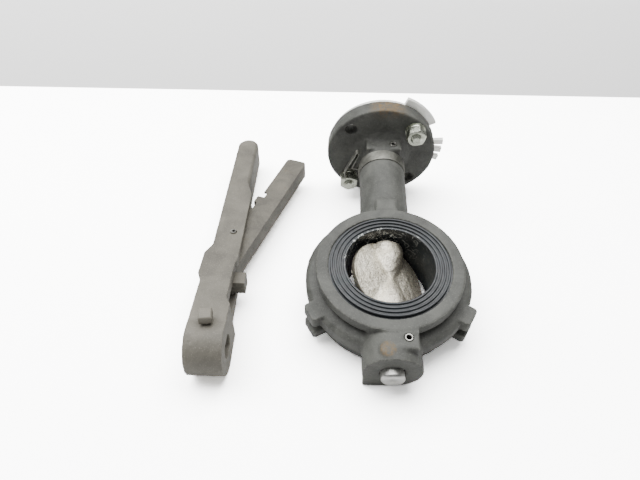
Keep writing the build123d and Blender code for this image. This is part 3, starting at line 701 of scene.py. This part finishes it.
def bored(bm, radius, low, high):
    # drills a bmesh along Y
    mesh = drilled(toMesh(bm, "bored"), radius, low, high, 48)
    bm = bmesh.new()
    bm.from_mesh(mesh)
    return bm


def splitWasher(look):
    # a ring with a gap, along Y
    inner, outer, top, low = look["inner"], look["outer"], look["top"], look["top"] - look["thick"]
    ring = [(inner, low), (outer - look["cornerIn"], low), (outer, low + look["edge"]),
            (outer, top - look["edge"]), (outer - look["cornerIn"], top), (inner, top)]
    bm = bmesh.new()
    verts = [bm.verts.new((r, h, 0)) for r, h in ring]
    edges = [bm.edges.new(pair) for pair in zip(verts, verts[1:] + verts[:1])]
    bmesh.ops.spin(bm, geom=verts + edges, cent=(0, 0, 0), axis=(0, 1, 0),
                   angle=math.radians(look["sweep"]), steps=64)
    bmesh.ops.holes_fill(bm, edges=bm.edges, sides=6)
    bmesh.ops.recalc_face_normals(bm, faces=bm.faces)
    return bm


bolts, nuts, washers = bmesh.new(), bmesh.new(), bmesh.new()
nutLow, nutHigh = boltLook["nutTop"] - boltLook["nut"], boltLook["nutTop"]
headLow, headHigh = boltLook["plateTop"], boltLook["plateTop"] + boltLook["head"]
for index, angle in enumerate(map(math.radians, boltLook["angles"])):
    circle = boltLook["circle"]
    spot = valvePlace @ Matrix.Translation((math.cos(angle) * circle, 0, math.sin(angle) * circle))
    bolt = addTo(threadedShank(boltLook), hexBlock(boltLook, headLow, headHigh, False))
    bolts = addTo(bolts, carried(bolt, spot))
    nut = hexBlock(boltLook, nutLow, nutHigh, True, 15 + 12 * index)
    nut = bored(nut, boltLook["radius"], nutLow - 1, nutHigh + 1)
    nuts = addTo(nuts, carried(nut, spot))
    turned = Matrix.Rotation(math.radians(washerLook["first"] + washerLook["further"] * index), 4, "Y")
    washers = addTo(washers, carried(splitWasher(washerLook), spot @ turned))
for name, node, bm, sharp in (("plateBolts", "plate_bolts", bolts, 28), ("plateNuts", "plate_nuts", nuts, 20),
                              ("splitWashers", "split_washers", washers, 40)):
    addPiece(name, toMesh(bm, name), zincPlate, "valve_body", [node], sharp)


# ---------- plate, strap and set screw: welded copies with soft edges ----------
def bevelledCopy(name, node, material, body, width, segments=2):
    # width in mm
    bm = mergedCopy(node)
    bmesh.ops.dissolve_limit(bm, angle_limit=math.radians(1), verts=bm.verts, edges=bm.edges)
    softened(bm, width * mm, segments, 32)
    addPiece(name, toMesh(bm, name), material, body, [node], 32)


bevelledCopy("notchPlate", "notch_plate", plateZinc, "valve_body", 0.35)
bevelledCopy("neckStrap", "neck_strap", strapSteel, "valve_body", 0.12, 1)
bevelledCopy("handleSetScrew", "handle_set_screw", handlePaint, "handle", 0.9, 4)

# ---------- trigger spring ----------
springWire = 0.8  # mm, half the wire's thickness
springLook = {
    "radius": 4.1, "wire": springWire, "coils": 6, "sides": 10, "perTurn": 40, "fixedEnd": -8.0,
    "start": -8.0 + springWire, "end": 26.8 - springWire, "across": 38.0, "shortest": 0.75,
}


def springCoil(look):
    # a helix along X, in the pivot's frame
    bm = bmesh.new()
    rings = []
    radius, sides, length = look["radius"], look["sides"], look["end"] - look["start"]
    total = look["coils"] * look["perTurn"]
    stepAlong, stepAround = length / total, radius * 2 * math.pi * look["coils"] / total
    for step in range(total + 1):
        angle = 2 * math.pi * look["coils"] * step / total
        side = Vector((0, math.cos(angle), math.sin(angle)))
        centre = Vector((look["start"] + stepAlong * step, look["across"], 0)) + side * radius
        ahead = Vector((stepAlong, -math.sin(angle) * stepAround, math.cos(angle) * stepAround)).normalized()
        up = ahead.cross(side)
        rings.append([bm.verts.new(centre + (side * math.cos(t) + up * math.sin(t)) * look["wire"])
                      for t in (2 * math.pi * k / sides for k in range(sides))])
    for first, second in zip(rings, rings[1:]):
        for k in range(sides):
            bm.faces.new((first[k], first[(k + 1) % sides], second[(k + 1) % sides], second[k]))
    for ring in (rings[0], rings[-1]):
        bm.faces.new(ring)
    bmesh.ops.recalc_face_normals(bm, faces=bm.faces)
    return bm


coil = toMesh(carried(springCoil(springLook), pivotPlace), "triggerSpring")
spring = addPiece("triggerSpring", coil, springSteel, "handle", ["trigger_spring"], 60)
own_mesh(spring)
print("small parts ready")

# ---------- hidden sleeves and seals keep their CAD shape ----------
finishes = {
    "neck_lower_bushing": bushingAcetal, "neck_top_bushing": bushingAcetal,
    "lower_stem_bushing": bushingAcetal, "lower_boss_bushing": bushingAcetal,
    "neck_stem_seal": sealRubber, "neck_top_seal": sealRubber,
    "upper_flat_washer": zincPlate,
}
for node, material in finishes.items():
    for index in range(len(nodes[node].data.materials)):
        nodes[node].data.materials[index] = material

# ---------- studio ----------
studioLook = {
    "tableWide": 1.6, "tableDeep": 1.0, "tableBack": 0.306, "wallHalf": 1.6, "wallBack": 0.62,  # metres
    "bounceDrop": 0.0002, "tableBright": 4.5, "bounceBright": 0.85, "wallBright": 3.5, "sky": 0.28,
}


def flatSheet(half, turn, shift):
    # a square of this half width, scaled or turned, then moved
    bm = bmesh.new()
    bmesh.ops.create_grid(bm, x_segments=1, y_segments=1, size=half)
    bmesh.ops.transform(bm, matrix=Matrix.Translation(shift) @ turn, verts=bm.verts)
    return bm


def paleSurface(name, brightness):
    # matt white; above 1, it's over-bright, as an overexposed table is
    material = bpy.data.materials.new(name)
    material.use_nodes = True
    tree = material.node_tree
    tree.nodes.clear()
    white = [brightness, brightness, brightness * 0.995, 1]
    shader = addNode(tree, "ShaderNodeBsdfDiffuse", {"Color": white})
    out = addNode(tree, "ShaderNodeOutputMaterial")
    tree.links.new(shader.outputs["BSDF"], out.inputs["Surface"])
    return material


def stagePiece(name, bm, brightness, onlyCamera):
    # one sheet is for the camera alone, the other only bounces light
    mesh = toMesh(bm, name)
    mesh.materials.append(paleSurface(name, brightness))
    surface = bpy.data.objects.new(name, mesh)
    bpy.context.scene.collection.objects.link(surface)
    surface.visible_camera = onlyCamera
    for kind in ("visible_diffuse", "visible_glossy", "visible_shadow", "visible_transmission"):
        setattr(surface, kind, not onlyCamera)


makeCamera()
tableSize = Matrix.Diagonal((studioLook["tableWide"], studioLook["tableDeep"], 1, 1))
tableShift = Vector((0, studioLook["tableBack"] - studioLook["tableDeep"], 0))
drop = Vector((0, 0, studioLook["bounceDrop"]))
upright = Matrix.Rotation(math.radians(90), 4, "X")
stagePiece("tableTop", flatSheet(1, tableSize, tableShift), studioLook["tableBright"], True)
stagePiece("tableBounce", flatSheet(1, tableSize, tableShift - drop), studioLook["bounceBright"], False)
stagePiece("backWall", flatSheet(studioLook["wallHalf"], upright, Vector((0, studioLook["wallBack"], 0))),
           studioLook["wallBright"], True)

world = bpy.data.worlds.new("studioWorld")
bpy.context.scene.world = world
world.use_nodes = True
background = world.node_tree.nodes["Background"].inputs
background["Color"].default_value = (1, 1, 1, 1)
background["Strength"].default_value = studioLook["sky"]
softLight("ceilingSoft", (-0.1, 0.32, 1.3), (0, 0, 0), (1.9, 1.2), 50)
softLight("windowSoft", (-1.1, 0.3, 0.9), (0, 0, 0.02), (0.8, 0.8), 8)
